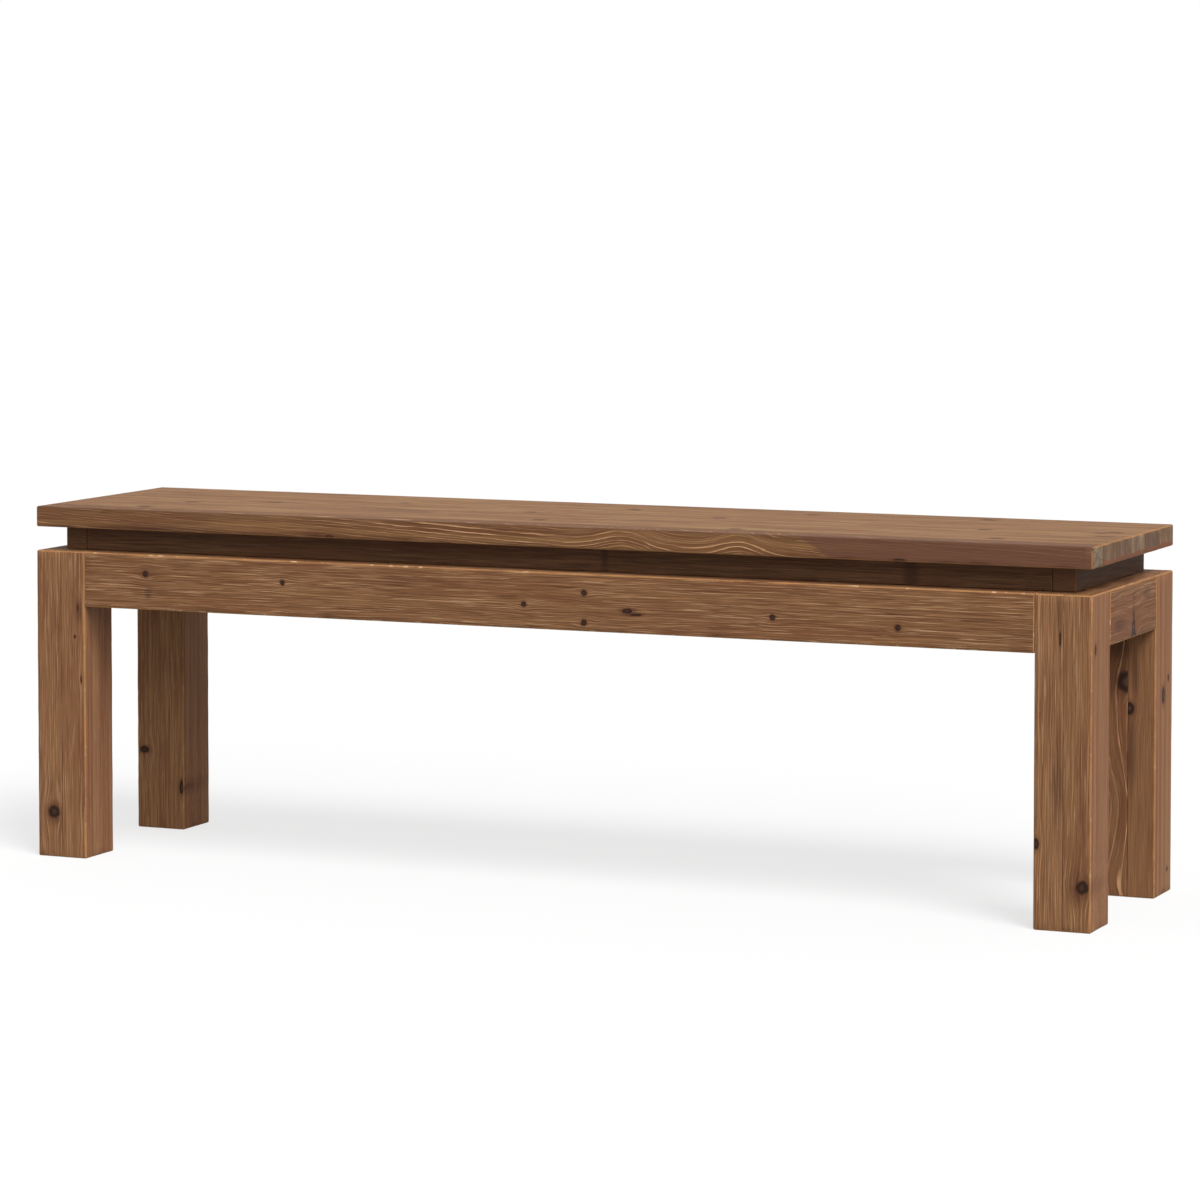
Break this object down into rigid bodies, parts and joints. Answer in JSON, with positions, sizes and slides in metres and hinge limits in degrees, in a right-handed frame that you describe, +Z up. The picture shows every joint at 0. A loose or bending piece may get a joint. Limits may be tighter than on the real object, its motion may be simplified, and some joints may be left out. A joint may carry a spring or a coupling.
{
  "type": "dining bench",
  "caption": "Backless wooden dining bench: edge-glued seat floating over a recessed spacer ring, aprons flush with square legs.",
  "frame": {"origin": "on the floor, at the centre of the bench's footprint", "axes": "+X along the bench to the right, +Y to the back, +Z up; the front is at -Y"},
  "size_m": [1.5, 0.35, 0.48],
  "materials": {
    "stained_pine": "walnut stain and matt wax on brushed knotty pine",
    "frame_pine": "sawn pine under one coat of the same stain",
    "yellow_zinc_screw": "yellow-passivated zinc on steel",
    "zinc_bolt": "clear zinc on steel"
  },
  "bodies": {
    "root": {"seat_stave_1": "stained_pine", "seat_stave_2": "stained_pine", "seat_stave_3": "stained_pine", "seat_stave_4": "stained_pine", "seat_stave_5": "stained_pine", "seat_stave_6": "stained_pine", "spacer_rail_left": "stained_pine", "spacer_rail_right": "stained_pine", "spacer_rail_front": "stained_pine", "spacer_rail_back": "stained_pine", "apron_front": "stained_pine", "apron_back": "stained_pine", "apron_left": "stained_pine", "apron_right": "stained_pine", "leg_front_left_outer_stave": "stained_pine", "leg_front_left_inner_stave": "stained_pine", "leg_front_right_outer_stave": "stained_pine", "leg_front_right_inner_stave": "stained_pine", "leg_back_left_outer_stave": "stained_pine", "leg_back_left_inner_stave": "stained_pine", "leg_back_right_outer_stave": "stained_pine", "leg_back_right_inner_stave": "stained_pine", "spacer_batten_left": "frame_pine", "spacer_batten_right": "frame_pine", "cross_rail_left": "frame_pine", "cross_rail_right": "frame_pine", "corner_brace_front_left": "frame_pine", "corner_brace_front_right": "frame_pine", "corner_brace_back_left": "frame_pine", "corner_brace_back_right": "frame_pine", "seat_screws": "yellow_zinc_screw", "cross_rail_screws": "yellow_zinc_screw", "hanger_bolts": "zinc_bolt", "brace_washers": "zinc_bolt", "brace_nuts": "zinc_bolt"}
  },
  "joints": []
}
